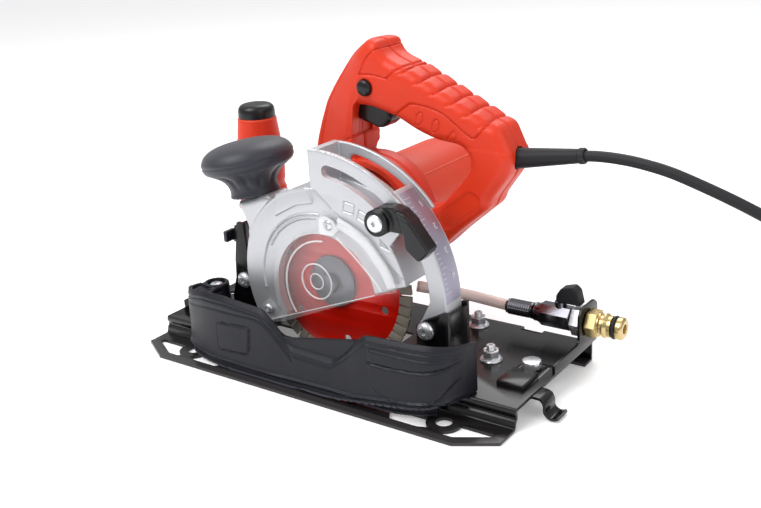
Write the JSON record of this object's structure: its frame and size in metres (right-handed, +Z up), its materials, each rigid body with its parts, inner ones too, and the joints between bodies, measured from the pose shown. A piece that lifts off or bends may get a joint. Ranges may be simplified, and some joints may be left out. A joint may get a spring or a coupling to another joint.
{
  "type": "wall chaser",
  "caption": "Hand-held wet stone-cutting saw with a cast blade guard, D handle and front knob, hinged on a stamped steel base with a depth arm, splash skirt and water valve",
  "frame": {"origin": "on the sole plane, on the near flange, midway between the centres of its two holes", "axes": "+X along the cut towards the cord end, +Y from the near flange towards the motor, +Z up"},
  "size_m": [0.4293, 0.207, 0.221],
  "materials": {
    "black_steel": "gloss black powder coat",
    "zinc": "bright zinc plate",
    "cast_aluminium": "fine shot-blasted casting",
    "dark_plastic": "satin dark grey",
    "red_plastic": "fine-textured red-orange",
    "clear_plastic": "clear moulded plastic",
    "blade_red": "red lacquer with a bare grey rim",
    "steel": "turned steel",
    "brass": "turned brass",
    "copper": "copper winding and bars",
    "rubber": "matte black",
    "hose": "translucent pinkish hose",
    "carbon": "pressed carbon"
  },
  "bodies": {
    "base": {"base_plate": "black_steel", "splash_skirt": "dark_plastic", "skirt_screw": "zinc", "front_bracket": "black_steel", "front_pivot_pin": "zinc", "rear_clevis": "black_steel", "clevis_pin": "zinc", "deck_nut_a": "zinc", "deck_nut_b": "zinc", "rail_clip": "black_steel", "valve_body": "zinc", "valve_nut": "zinc", "quick_connector": "brass", "connector_o_ring": "rubber", "hose_ferrule": "steel", "water_hose": "hose"},
    "head": {"blade_guard": "cast_aluminium", "guard_window": "clear_plastic", "window_screw_upper": "zinc", "window_screw_lower": "zinc", "knob": "dark_plastic", "gear_housing": "cast_aluminium", "bearing_plate": "cast_aluminium", "spindle_bearing": "steel", "spindle_rear_bearing": "steel", "armature_front_bearing": "steel", "armature_rear_bearing": "steel", "motor_housing": "red_plastic", "stator": "steel", "brush_front": "carbon", "brush_rear": "carbon", "handle_near": "red_plastic", "handle_far": "red_plastic", "switch_body": "dark_plastic", "cord_boot": "rubber", "power_cord": "rubber", "aux_arm": "steel", "aux_grip": "red_plastic", "aux_grip_cap": "rubber"},
    "spindle": {"spindle": "steel", "drive_gear": "steel", "inner_flange": "steel", "outer_flange": "steel", "blade_bolt": "zinc", "blade": "blade_red"},
    "armature": {"armature_shaft": "steel", "pinion": "steel", "armature_core": "copper", "commutator": "copper", "cooling_fan": "dark_plastic"},
    "arm": {"depth_quadrant": "cast_aluminium", "clamp_screw": "zinc"},
    "clamp_lever": {"depth_lever": "dark_plastic"},
    "trigger": {"trigger": "rubber"},
    "lock_button": {"lock_button": "rubber"},
    "wing_nut": {"lock_wing_nut": "dark_plastic"},
    "water_lever": {"valve_lever": "rubber"},
    "clip_screw": {"clip_screw": "zinc"}
  },
  "joints": [
    {"name": "depth_plunge", "type": "hinge", "parent": "base", "child": "head", "pos_m": [-0.084, 0.0374, 0.049], "axis": [0, 1, 0], "range_deg": [0, 18]},
    {"name": "arm_swing", "type": "hinge", "parent": "base", "child": "arm", "pos_m": [0.081, 0.0374, 0.048], "axis": [0, 1, 0], "range_deg": [-18.5, 0]},
    {"name": "clamp_turn", "type": "hinge", "parent": "arm", "child": "clamp_lever", "pos_m": [0.05885, 0.0154, 0.12174], "axis": [0, 1, 0], "range_deg": [-60, 0]},
    {"name": "spindle_spin", "type": "hinge", "parent": "head", "child": "spindle", "pos_m": [0, 0.0374, 0.0635], "axis": [0, 1, 0], "continuous": true},
    {"name": "armature_spin", "type": "hinge", "parent": "head", "child": "armature", "pos_m": [0, 0.1174, 0.096], "axis": [0, 1, 0], "continuous": true},
    {"name": "trigger_pull", "type": "slide", "parent": "head", "child": "trigger", "axis": [0, 0, 1], "range_m": [0, 0.005]},
    {"name": "lock_press", "type": "slide", "parent": "head", "child": "lock_button", "axis": [0, 1, 0], "range_m": [0, 0.003]},
    {"name": "wing_nut_turn", "type": "hinge", "parent": "base", "child": "wing_nut", "pos_m": [-0.0936, 0.0459, 0.08], "axis": [1, 0, 0], "continuous": true},
    {"name": "water_lever_turn", "type": "hinge", "parent": "base", "child": "water_lever", "pos_m": [0.13, 0.1174, 0.043], "axis": [0, 0, 1], "range_deg": [0, 90]},
    {"name": "clip_screw_turn", "type": "hinge", "parent": "base", "child": "clip_screw", "pos_m": [0.133, 0.0684, 0.018], "axis": [0, 0, 1], "continuous": true}
  ],
  "couplings": [
    {"joint": "armature_spin", "follows": "spindle_spin", "ratio": -2.4667},
    {"joint": "arm_swing", "follows": "depth_plunge", "ratio": -1.0117}
  ]
}
